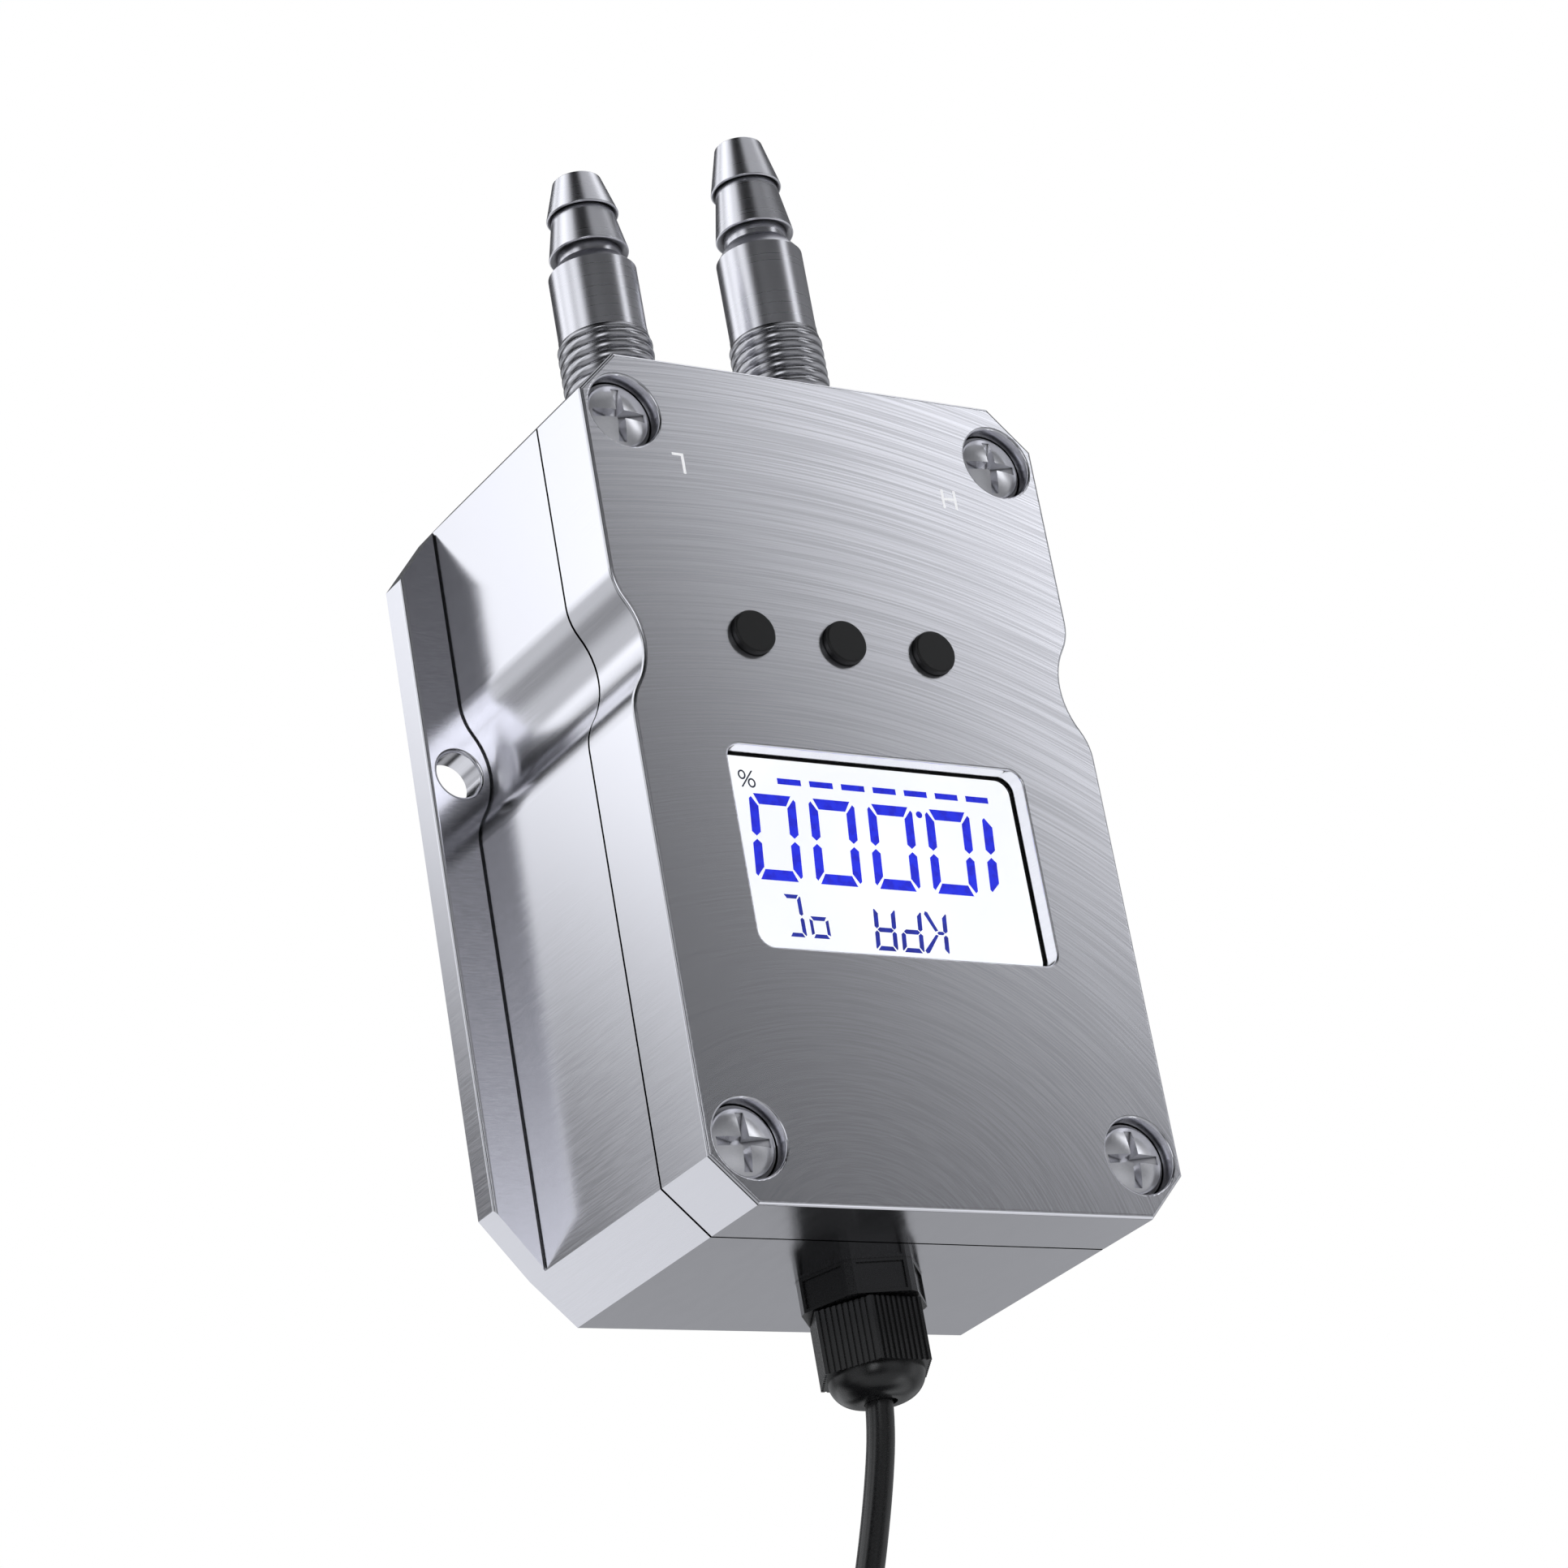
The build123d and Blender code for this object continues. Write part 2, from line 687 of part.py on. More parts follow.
with BuildPart() as gland_nut:
    with BuildSketch(floor_plane(dome_top)):
        RegularPolygon(nut_hex / 2, 6, major_radius=False, rotation=nut_hex_turn + 30)
        with PolarLocations(nut_hex / 2, 6, start_angle=nut_hex_turn):
            with GridLocations(0, rib_pitch, 1, rib_count):
                Rectangle(2 * rib_depth, rib_gap, mode=Mode.SUBTRACT)
    extrude(amount=nut_height)
    with BuildSketch(front_plane(port_depth, 0)):
        with BuildLine():
            Line((0, dome_top), (dome_diameter / 2, dome_top))
            dome_flat = dome_diameter / 2 - dome_height
            dome = TangentArc((dome_diameter / 2, dome_top), (dome_flat, mouth_z), tangent=(0, -1))
            Polyline(dome @ 1, (0, mouth_z), (0, dome_top))
        make_face()
    revolve(axis=Axis((0, -port_depth, 0), (0, 0, 1)))
    with BuildSketch(floor_plane(nut_top)):
        Circle(nut_bore / 2)
    extrude(amount=insert_end - nut_top, mode=Mode.SUBTRACT)
    with BuildSketch(floor_plane(nut_top)):
        Circle(nut_mouth / 2)
    extrude(amount=mouth_z - nut_top, mode=Mode.SUBTRACT)
keep(gland_nut, "gland_nut")

with BuildPart() as gland_washer:
    with BuildSketch(floor_plane(inner_wall_z)):
        Circle(washer_diameter / 2)
        Circle(gland_hole / 2, mode=Mode.SUBTRACT)
    extrude(amount=washer_thickness)
keep(gland_washer, "gland_washer")

with BuildPart() as gland_lock_nut:
    with BuildSketch(floor_plane(inner_wall_z + washer_thickness)):
        RegularPolygon(lock_nut_hex / 2, 6, major_radius=False)
        Circle(gland_hole / 2, mode=Mode.SUBTRACT)
    extrude(amount=lock_nut_height)
keep(gland_lock_nut, "gland_lock_nut")

# The cable's inner end, its two leads and the terminal block on the main board
inner_cable_end = bottom_z + inner_cable_top
terminal_bottom = inner_cable_end + terminal_gap
with BuildPart() as inner_cable:
    with BuildSketch(floor_plane(insert_end)):
        Circle(cable_diameter / 2)
    extrude(amount=inner_cable_end - insert_end)
keep(inner_cable, "inner_cable")

with BuildPart() as inner_leads:
    with BuildSketch(floor_plane(inner_cable_end)):
        with GridLocations(2 * lead_spread, 0, 2, 1):
            Circle(lead_diameter / 2)
    extrude(amount=terminal_gap)
keep(inner_leads, "inner_leads")

with BuildPart() as terminal_block:
    with BuildSketch(front_plane(main_board_front, terminal_bottom + terminal_height / 2)):
        Rectangle(terminal_width, terminal_height)
    extrude(amount=terminal_depth)
    with BuildSketch(front_plane(main_board_front + terminal_depth, terminal_bottom + terminal_height / 2)):
        with GridLocations(terminal_pitch, 0, 4, 1):
            Circle(terminal_screw / 2)
    extrude(amount=-terminal_screw_depth, mode=Mode.SUBTRACT)
keep(terminal_block, "terminal_block")

# The ribbon hangs in a gentle step between the facing boards
with BuildPart() as ribbon_cable:
    board_gap = display_board_front - board_thickness - main_board_front
    with BuildLine() as ribbon_line:
        FilletPolyline(
            (ribbon_x, -main_board_front, ribbon_z),
            (ribbon_x, -main_board_front - ribbon_straight, ribbon_z),
            (ribbon_x, -main_board_front - board_gap + ribbon_straight, ribbon_z - ribbon_step),
            (ribbon_x, -main_board_front - board_gap, ribbon_z - ribbon_step),
            radius=ribbon_bend,
        )
    with BuildSketch(front_plane(main_board_front, ribbon_z, ribbon_x)):
        Rectangle(ribbon_width, ribbon_thickness)
    sweep(path=ribbon_line.wire())
keep(ribbon_cable, "ribbon_cable")


def corner_radii(points):
    """The largest even arc at each corner of a route."""
    radii = []
    for before, corner, after in zip(points, points[1:], points[2:]):
        arriving = Vector(*corner) - Vector(*before)
        leaving = Vector(*after) - Vector(*corner)
        half_turn = math.radians(arriving.get_angle(leaving)) / 2
        shorter = min(arriving.length, leaving.length)
        radii.append(0.45 * shorter / math.tan(half_turn))
    return radii


def cord_tube(name, points, diameter):
    """A tube of straight runs and tangent arcs, with its radii and volume printed."""
    radii = corner_radii(points)
    with BuildPart() as tube:
        with BuildLine() as route:
            FilletPolyline(*points, radius=radii)
        with BuildSketch(Plane(origin=route.wire() @ 0, z_dir=route.wire() % 0)):
            Circle(diameter / 2)
        sweep(path=route.wire())
    length = route.wire().length
    section = math.pi * diameter**2 / 4
    print(name, "radii", [round(radius, 1) for radius in radii], "length", round(length, 1))
    print(name, "volume", round(tube.part.volume, 1), "section by length", round(section * length, 1))
    keep(tube, name)
    return route.wire()


# The cable bends to the left as it falls and joins the outer turn of its coil
coil_section = coil_layers * cable_diameter
outer_turn_x = coil_centre_x - coil_radius - cable_diameter
inner_turn_x = coil_centre_x - coil_radius + cable_diameter
rear_turn_y = coil_centre_y + cable_diameter
front_turn_y = coil_centre_y - cable_diameter
run_points = [
    (0, -port_depth, insert_end),
    (0, -port_depth, -98.5),
    (-3.0, -22.0, -110.8),
    (-8.4, -21.6, -127.0),
    (-16.2, -21.2, -142.5),
    (-22.6, -20.6, -156.5),
    (outer_turn_x, rear_turn_y, coil_centre_z),
]
tail_points = [
    (inner_turn_x, front_turn_y, coil_centre_z),
    (-18.1, -30.8, -180.5),
    (-18.6, -33.0, -193.0),
    (-20.4, -33.4, -208.5),
    (-23.4, -32.6, -224.0),
    (-24.6, -31.8, -239.5),
    (-23.2, -31.4, -253.0),
]
run_line = cord_tube("cable_run", run_points, cable_diameter)
tail_line = cord_tube("cable_tail", tail_points, cable_diameter)

with BuildPart() as cable_coil:
    coil_centre = (coil_centre_x, coil_centre_y, coil_centre_z)
    with BuildSketch(Plane(origin=coil_centre, x_dir=(1, 0, 0), z_dir=(0, 0, 1))):
        with Locations((coil_radius, 0)):
            RectangleRounded(coil_section, coil_section, coil_corner)
    revolve(axis=Axis(coil_centre, (0, 1, 0)))
keep(cable_coil, "cable_coil")
coil_turns = coil_layers * coil_layers
coil_length = coil_turns * 2 * math.pi * coil_radius
print("cable length", round(run_line.length + coil_length + tail_line.length + lead_length))

with BuildPart() as cable_ties:
    for angle in tie_angles:
        spoke = Vector(math.cos(math.radians(angle)), 0, math.sin(math.radians(angle)))
        middle = Vector(*coil_centre) + spoke * coil_radius
        along = spoke.cross(Vector(0, 1, 0))
        with BuildSketch(Plane(origin=middle, x_dir=spoke, z_dir=along)):
            Rectangle(coil_section + 2 * (tie_play + tie_thickness), coil_section + 2 * tie_thickness)
            Rectangle(coil_section + 2 * tie_play, coil_section, mode=Mode.SUBTRACT)
        extrude(amount=tie_width / 2, both=True)
keep(cable_ties, "cable_ties")

# Two stripped leads with ferrules at the cable's far end
tail_end = tail_line @ 1
tail_way = (tail_line % 1).normalized()
aside = tail_way.cross(Vector(0, 1, 0)).normalized()
insulated_length = lead_length - ferrule_length
for side, name in ((-1, "lead_one"), (1, "lead_two")):
    start = tail_end + aside * (side * lead_spread)
    with BuildPart() as lead:
        with BuildSketch(Plane(origin=start, z_dir=tail_way)):
            Circle(lead_diameter / 2)
        extrude(amount=insulated_length)
    keep(lead, name)

with BuildPart() as lead_ferrules:
    for side in (-1, 1):
        start = tail_end + aside * (side * lead_spread) + tail_way * insulated_length
        with BuildSketch(Plane(origin=start, z_dir=tail_way)):
            Circle(ferrule_diameter / 2)
        extrude(amount=ferrule_length)
keep(lead_ferrules, "lead_ferrules")
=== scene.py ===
import math

import bmesh
import bpy
from mathutils import Matrix, Vector


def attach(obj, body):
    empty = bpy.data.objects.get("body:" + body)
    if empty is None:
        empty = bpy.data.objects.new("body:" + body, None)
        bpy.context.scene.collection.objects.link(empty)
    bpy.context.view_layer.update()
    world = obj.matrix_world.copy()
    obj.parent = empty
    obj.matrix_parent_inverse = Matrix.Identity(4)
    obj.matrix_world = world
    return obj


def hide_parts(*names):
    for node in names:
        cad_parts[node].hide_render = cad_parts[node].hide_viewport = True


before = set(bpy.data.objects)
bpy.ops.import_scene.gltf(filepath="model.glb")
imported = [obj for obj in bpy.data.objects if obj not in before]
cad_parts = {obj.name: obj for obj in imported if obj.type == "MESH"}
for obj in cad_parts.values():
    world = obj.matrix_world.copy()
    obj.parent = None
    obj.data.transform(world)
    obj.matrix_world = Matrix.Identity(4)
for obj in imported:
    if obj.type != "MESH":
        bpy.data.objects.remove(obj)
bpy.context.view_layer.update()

MM = 0.001


def box(name):
    """The lowest and the highest corner of a solid's box, in millimetres."""
    solid = bpy.data.objects[name]
    corners = [solid.matrix_world @ Vector(corner) for corner in solid.bound_box]
    return tuple([round(pick(corner[axis] for corner in corners) / MM, 2) for axis in range(3)]
                 for pick in (min, max))


def middle(name):
    """The middle of a solid's box, in millimetres."""
    return [round((low + high) / 2, 2) for low, high in zip(*box(name))]


# Places on the part, in millimetres, read from its solids; the front looks along -y
FACE_DEPTH = -box("front_cover")[0][1]
TOP_Z = box("front_cover")[1][2]
SEAM_DEPTH = -(box("base_housing")[0][1] + box("front_cover")[1][1]) / 2
PORT_X = -middle("hose_barb_low")[0]
PORT_Y = middle("hose_barb_low")[1]
WINDOW_Z = middle("display_panel")[2]
DISPLAY_DEPTH = -box("display_panel")[0][1]
PANE_FRONT = -box("window_pane")[0][1]

# The M14 thread of the ports and the height of its upper end over the housing, in millimetres
THREAD_CORE = 6.5
THREAD_CREST = 7.0
THREAD_PITCH = 1.62
THREAD_LOW = 18.6
THREAD_HIGH = 23.2


# The camera stands below and to the left, and looks up at the front
camera_data = bpy.data.cameras.new("camera")
camera_data.sensor_width = 36.0
camera_data.lens = 106.709
camera_data.clip_start = 0.01
camera = bpy.data.objects.new("camera", camera_data)
camera.location = (-0.35111, -0.51533, -0.26412)
camera.rotation_euler = [math.radians(angle) for angle in (113.3834, 9.4550, -31.5769)]
bpy.context.scene.collection.objects.link(camera)
bpy.context.scene.camera = camera
bpy.context.scene.view_settings.view_transform = "Standard"


def grey(value):
    """A slightly cold grey."""
    return (value, value, min(1.0, value * 1.06), 1.0)


class Graph:
    """A tree of shader nodes; an input is a plain value or another node's output."""

    def __init__(self, tree):
        self.tree = tree

    def set(self, node, inputs):
        for name, value in inputs.items():
            socket = node.inputs[name if isinstance(name, int) else name.replace("_", " ")]
            if isinstance(value, bpy.types.NodeSocket):
                self.tree.links.new(value, socket)
            else:
                socket.default_value = value

    def node(self, kind, settings=None, inputs=None, output=0):
        made = self.tree.nodes.new("ShaderNode" + kind)
        for name, value in (settings or {}).items():
            setattr(made, name, value)
        self.set(made, inputs or {})
        return made.outputs[output]

    def math(self, operation, first, second=0.0, third=0.0):
        return self.node("Math", {"operation": operation}, {0: first, 1: second, 2: third})

    def times(self, first, second):
        return self.math("MULTIPLY", first, second)

    def plus(self, first, second):
        return self.math("ADD", first, second)

    def minus(self, first, second):
        return self.math("SUBTRACT", first, second)

    def distance(self, first, second):
        """The length of a step that goes first one way and second across it."""
        return self.math("SQRT", self.plus(self.times(first, first), self.times(second, second)))

    def join(self, x, y, z=0.0):
        return self.node("CombineXYZ", None, {0: x, 1: y, 2: z})

    def parts(self, vector):
        made = self.tree.nodes.new("ShaderNodeSeparateXYZ")
        self.set(made, {0: vector})
        return made.outputs[0], made.outputs[1], made.outputs[2]

    def spread(self, value, low, high, to_low, to_high):
        """The value, taken smoothly from between low and high to between to_low and to_high."""
        inputs = {0: value, 1: low, 2: high, 3: to_low, 4: to_high}
        return self.node("MapRange", {"interpolation_type": "SMOOTHSTEP"}, inputs)


class Finish(Graph):
    """A Principled material whose sockets are fed by procedural nodes."""

    def __init__(self, name, **plain):
        self.material = bpy.data.materials.new(name)
        self.material.use_nodes = True
        super().__init__(self.material.node_tree)
        self.shader = self.tree.nodes["Principled BSDF"]
        self.feed(**plain)

    def feed(self, **inputs):
        self.set(self.shader, inputs)

    def place(self):
        """The point on the object, in metres."""
        return self.node("TexCoord", output="Object")

    def noise(self, vector, scale=1.0, detail=2.0, roughness=0.5):
        inputs = {"Vector": vector, "Scale": scale, "Detail": detail, "Roughness": roughness}
        return self.node("TexNoise", None, inputs)

    def choose(self, share, first, second):
        """The number first where share is 0, and second where it is 1."""
        return self.node("Mix", {"data_type": "FLOAT"}, {0: share, 2: first, 3: second})

    def blend(self, share, first, second):
        """The colour first where share is 0, and second where it is 1."""
        return self.node("Mix", {"data_type": "RGBA"}, {0: share, 6: first, 7: second}, output=2)

    def shade(self, value, first, second, low=0.3, high=0.7):
        """The colour first where the value is low, and second where it is high."""
        return self.blend(self.spread(value, low, high, 0.0, 1.0), first, second)

    def painted_corner_shade(self, reach, colour, amount):
        """The colour, with painted shade darkening corners and grooves narrower than reach millimetres."""
        open_share = self.node("AmbientOcclusion", {"samples": 6}, {"Distance": reach * MM}, output=1)
        return self.blend(self.spread(open_share, 0.3, 0.85, amount, 0.0), colour, grey(0.01))

    def bump(self, height, strength, distance):
        """Fine relief; distance is in millimetres."""
        inputs = {"Strength": strength, "Distance": distance * MM, "Height": height}
        self.feed(Normal=self.node("Bump", None, inputs))


# Materials
def housing_finish(name):
    """Aluminium: the front is brushed in wide arcs, the other sides are satin with a fine grain. Painted
    shade darkens its corners, and the rims down in the seam are painted near black as shade.
    """
    arcs_x, arcs_z, squeeze = -16.0, -88.0, 0.85
    face_skin, seam_shade_half = 0.2, 0.21
    finish = Finish(name, Metallic=1.0)
    x, y, z = finish.parts(finish.place())
    across = finish.times(finish.minus(x, arcs_x * MM), squeeze)
    above = finish.minus(z, arcs_z * MM)
    reach = finish.distance(across, above)
    turn = finish.math("ARCTAN2", across, above)

    def streak(per_metre, per_radian, shift, detail):
        """Noise drawn out along the arcs."""
        place = finish.join(finish.times(reach, per_metre), finish.times(turn, per_radian), shift)
        return finish.noise(place, detail=detail)

    fine = streak(3000.0, 3.2, 0.0, 2.0)
    broad = streak(900.0, 1.7, 7.3, 1.0)
    hairs = streak(5600.0, 2.6, 3.1, 1.0)
    streaks = finish.plus(finish.times(fine, 0.6), finish.times(broad, 0.1))
    streaks = finish.math("MULTIPLY_ADD", hairs, 0.3, streaks)
    stretch = {0: finish.place(), 1: (700.0, 160.0, 6500.0)}
    grain = finish.noise(finish.node("VectorMath", {"operation": "MULTIPLY"}, stretch))

    facing = finish.parts(finish.node("TexCoord", output="Normal"))[1]
    forward = finish.math("LESS_THAN", y, (face_skin - FACE_DEPTH) * MM)
    front = finish.times(finish.math("LESS_THAN", facing, -0.9), forward)
    tone = finish.shade(streaks, grey(0.73), grey(0.91), 0.38, 0.62)
    off_seam = finish.math("ABSOLUTE", finish.plus(y, SEAM_DEPTH * MM))
    satin = finish.shade(grain, grey(0.855), grey(0.885))
    # Painted shade: the rims down in the seam between housing and cover are painted near black
    satin = finish.blend(finish.math("LESS_THAN", off_seam, seam_shade_half * MM), satin, grey(0.01))
    rough_front = finish.spread(streaks, 0.3, 0.7, 0.26, 0.21)
    rough_side = finish.spread(grain, 0.3, 0.7, 0.17, 0.21)
    # Painted shade darkens the aluminium in corners and narrow grooves
    finish.feed(Base_Color=finish.painted_corner_shade(0.6, finish.blend(front, satin, tone), 0.9),
                Roughness=finish.choose(front, rough_side, rough_front))
    finish.bump(finish.choose(front, finish.times(grain, 0.03), streaks), 0.25, 0.012)
    return finish.material


def turned_finish(name):
    """Steel turned on a lathe: faint fine rings round the port axis, with painted shade in its corners and
    grooves.
    """
    finish = Finish(name, Metallic=1.0)
    z = finish.parts(finish.place())[2]
    rings = finish.noise(finish.join(0.0, 0.0, finish.times(z, 2600.0)), detail=1.0)
    colour = finish.shade(rings, grey(0.9207), grey(0.9393))
    # Painted shade darkens the steel under the lips and in the necks
    finish.feed(Base_Color=finish.painted_corner_shade(2.5, colour, 0.85),
                Roughness=finish.spread(rings, 0.3, 0.7, 0.2716, 0.294))
    return finish.material


def screw_finish(name):
    """Bright plated steel, with painted shade down in the cross recess and round the head."""
    finish = Finish(name, Metallic=0.72)
    grain = finish.noise(finish.place(), 6000.0)
    colour = finish.shade(grain, grey(0.90), grey(0.97))
    finish.feed(Base_Color=finish.painted_corner_shade(0.8, colour, 0.85),
                Roughness=finish.spread(grain, 0.3, 0.7, 0.19, 0.24))
    return finish.material


def thread_finish(name):
    """Steel on the threads, with painted shade down in the grooves."""
    finish = Finish(name, Metallic=1.0, Roughness=0.26)
    x, y = finish.parts(finish.place())[:2]
    across = finish.minus(finish.math("ABSOLUTE", x), PORT_X * MM)
    radius = finish.distance(across, finish.minus(y, PORT_Y * MM))
    # Painted shade: darker the nearer the port's axis, near black at the groove's root
    colour = finish.shade(radius, grey(0.04), grey(0.64), THREAD_CORE * MM, (THREAD_CREST - 0.1) * MM)
    finish.feed(Base_Color=colour)
    return finish.material


def mottled_finish(name, dark, light, roughness, size, bump, **plain):
    """A moulded or cast surface with a fine uneven grain; size is the grain's, in millimetres."""
    finish = Finish(name, **plain)
    grain = finish.noise(finish.place(), 1.0 / (size * MM), 4.0, 0.6)
    finish.feed(Base_Color=finish.shade(grain, dark, light),
                Roughness=finish.spread(grain, 0.3, 0.7, roughness * 0.9, min(1.0, roughness * 1.15)))
    finish.bump(grain, bump, 0.02)
    return finish.material


def board_finish(name):
    """Green solder mask over copper tracks."""
    finish = Finish(name, Roughness=0.35)
    tracks = finish.node("TexBrick", {"offset": 0.4}, {
        "Vector": finish.place(), "Scale": 320.0, "Color1": (0.02, 0.20, 0.08, 1),
        "Color2": (0.03, 0.26, 0.10, 1), "Mortar": (0.01, 0.12, 0.05, 1), "Mortar Size": 0.02})
    finish.feed(Base_Color=tracks)
    return finish.material


def glass_finish(name):
    """Clear pane with faint ripples in its gloss."""
    finish = Finish(name, Transmission_Weight=1.0, IOR=1.45)
    ripple = finish.noise(finish.place(), 90.0)
    finish.feed(Base_Color=finish.blend(ripple, (0.97, 0.99, 1, 1), (1, 1, 1, 1)),
                Roughness=finish.spread(ripple, 0.3, 0.7, 0.0, 0.03))
    return finish.material


def panel_finish(name):
    """The lit white field of the display, with the faint grid of its diffuser."""
    finish = Finish(name, Roughness=0.5)
    x, _, z = finish.parts(finish.place())
    grid = finish.node("TexVoronoi", {"feature": "DISTANCE_TO_EDGE"},
                       {"Vector": finish.join(x, z), "Scale": 3200.0, "Randomness": 0.0})
    glow = finish.noise(finish.place(), 40.0, 1.0)
    tone = finish.shade(grid, (0.44, 0.45, 0.47, 1), (0.48, 0.48, 0.49, 1), 0.0, 0.12)
    finish.feed(Base_Color=tone, Emission_Color=(0.98, 0.99, 1.0, 1),
                Emission_Strength=finish.spread(glow, 0.3, 0.7, 0.60, 0.64))
    return finish.material


def ink_finish(name, dark, light, strength):
    """Liquid-crystal ink with a faint cloud in it; strength is its own light."""
    finish = Finish(name, Roughness=0.4, Emission_Strength=strength)
    tone = finish.shade(finish.noise(finish.place(), 700.0), dark, light, 0.35, 0.65)
    finish.feed(Base_Color=tone, Emission_Color=tone)
    return finish.material


housing = housing_finish("brushed_aluminium")
turned = turned_finish("turned_steel")
thread = thread_finish("thread_steel")
screw = screw_finish("screw_steel")
small_screw = mottled_finish("small_screw_steel", grey(0.55), grey(0.75), 0.25, 0.4, 0.1, Metallic=1.0)
nylon = mottled_finish("black_nylon", (0.0055, 0.0055, 0.006, 1), (0.010, 0.010, 0.011, 1),
                       0.27, 0.12, 0.02, Specular_IOR_Level=0.8)
rubber = mottled_finish("black_rubber", (0.002, 0.002, 0.002, 1), (0.006, 0.006, 0.006, 1), 0.6, 0.2, 0.3,
                        Specular_IOR_Level=0.2)
jacket = mottled_finish("cable_jacket", (0.005, 0.005, 0.0055, 1), (0.010, 0.010, 0.011, 1),
                        0.28, 0.3, 0.03, Specular_IOR_Level=0.8)
button = mottled_finish("button_plastic", (0.004, 0.004, 0.0045, 1), (0.009, 0.009, 0.010, 1),
                        0.36, 0.15, 0.08)
# The printed marks glow a little: painted light on the print
white_print_painted_glow = mottled_finish("white_print_painted_glow", (0.86, 0.86, 0.88, 1), (0.97, 0.97, 0.98, 1), 0.5, 0.2, 0.1,
                             Emission_Color=(1.0, 1.0, 1.0, 1), Emission_Strength=0.3)
board = board_finish("solder_mask")
glass = glass_finish("window_glass")
panel = panel_finish("display_field")
backlight = mottled_finish("backlight_plastic", (0.85, 0.87, 0.9, 1), (0.93, 0.95, 0.98, 1), 0.4, 1.0, 0.1)
sensor = mottled_finish("sensor_plastic", (0.72, 0.70, 0.62, 1), (0.82, 0.80, 0.73, 1), 0.4, 0.5, 0.1)
silicone = mottled_finish("silicone_tube", (0.72, 0.72, 0.68, 1), (0.84, 0.84, 0.80, 1), 0.45, 0.6, 0.1)
terminal = mottled_finish("terminal_plastic", (0.03, 0.22, 0.08, 1), (0.05, 0.32, 0.12, 1), 0.45, 0.4, 0.15)
ribbon = mottled_finish("ribbon_plastic", (0.50, 0.50, 0.52, 1), (0.62, 0.62, 0.64, 1), 0.5, 0.7, 0.15)
red_lead = mottled_finish("red_lead", (0.42, 0.012, 0.010, 1), (0.60, 0.025, 0.018, 1), 0.35, 0.4, 0.1)
black_lead = mottled_finish("black_lead", (0.008, 0.008, 0.008, 1), (0.02, 0.02, 0.02, 1), 0.35, 0.4, 0.1)
tinned = mottled_finish("tinned_copper", grey(0.60), grey(0.80), 0.3, 0.3, 0.2, Metallic=1.0)
ink = ink_finish("display_ink", (0.0, 0.006, 0.66, 1), (0.002, 0.018, 0.86, 1), 0.35)
small_ink = ink_finish("display_small_ink", (0.0, 0.008, 0.34, 1), (0.002, 0.02, 0.48, 1), 0.2)
percent_ink = ink_finish("display_percent_ink", (0.01, 0.014, 0.04, 1), (0.016, 0.022, 0.06, 1), 0.05)
seal = mottled_finish("window_seal", (0.002, 0.002, 0.002, 1), (0.005, 0.005, 0.005, 1), 0.8, 0.2, 0.1,
                      Specular_IOR_Level=0.1)

carried = {
    "base_housing": housing, "front_cover": housing, "cover_gasket": rubber, "cover_screws": screw,
    "window_pane": glass, "display_bezel": rubber, "display_panel": panel, "display_backlight": backlight,
    "display_board": board, "main_board": board, "display_board_screws": small_screw,
    "main_board_screws": small_screw, "button_1": button, "button_2": button, "button_3": button,
    "tact_switches": nylon, "hose_barb_low": turned, "hose_barb_high": turned, "pressure_sensor": sensor,
    "sensor_tube_low": silicone, "sensor_tube_high": silicone, "gland_body": nylon, "gland_insert": rubber,
    "gland_nut": nylon, "gland_washer": rubber, "gland_lock_nut": nylon, "inner_cable": jacket,
    "inner_leads": red_lead, "terminal_block": terminal, "ribbon_cable": ribbon, "cable_ties": nylon,
    "lead_one": red_lead, "lead_two": black_lead, "lead_ferrules": tinned,
}
for name, finish in carried.items():
    data = bpy.data.objects[name].data
    data.materials.clear()
    data.materials.append(finish)


# Pieces
def piece(name, data, finish, body="housing"):
    """A new piece of the scene that rides on a body."""
    made = bpy.data.objects.new(name, data)
    bpy.context.scene.collection.objects.link(made)
    data.materials.append(finish)
    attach(made, body)
    return made


def mesh_from(name, build):
    """A mesh made by build(bm) in millimetres."""
    bm = bmesh.new()
    build(bm)
    bmesh.ops.recalc_face_normals(bm, faces=bm.faces)
    bm.transform(Matrix.Scale(MM, 4))
    data = bpy.data.meshes.new(name)
    bm.to_mesh(data)
    bm.free()
    return data


# The cable: one line from the gland, round the nine turns of its coil, to the two bare leads
cable_points = [
    (0.0, -22.2, -91.8), (0.0, -22.2, -98.5), (-3.0, -22.0, -110.8), (-8.4, -21.6, -127.0),
    (-16.2, -21.2, -142.5), (-22.6, -20.6, -156.5),
]
tail_points = [
    (-18.1, -30.8, -180.5), (-18.6, -33.0, -193.0), (-20.4, -33.4, -208.5),
    (-23.4, -32.6, -224.0), (-24.6, -31.8, -239.5), (-23.2, -31.4, -253.0),
]
CABLE_WIDTH = 3.9
COIL_X, COIL_Y, COIL_Z = middle("cable_coil")
COIL_RADIUS = round(box("cable_coil")[1][0] - COIL_X - 1.5 * CABLE_WIDTH, 2)
COIL_STEPS = 16

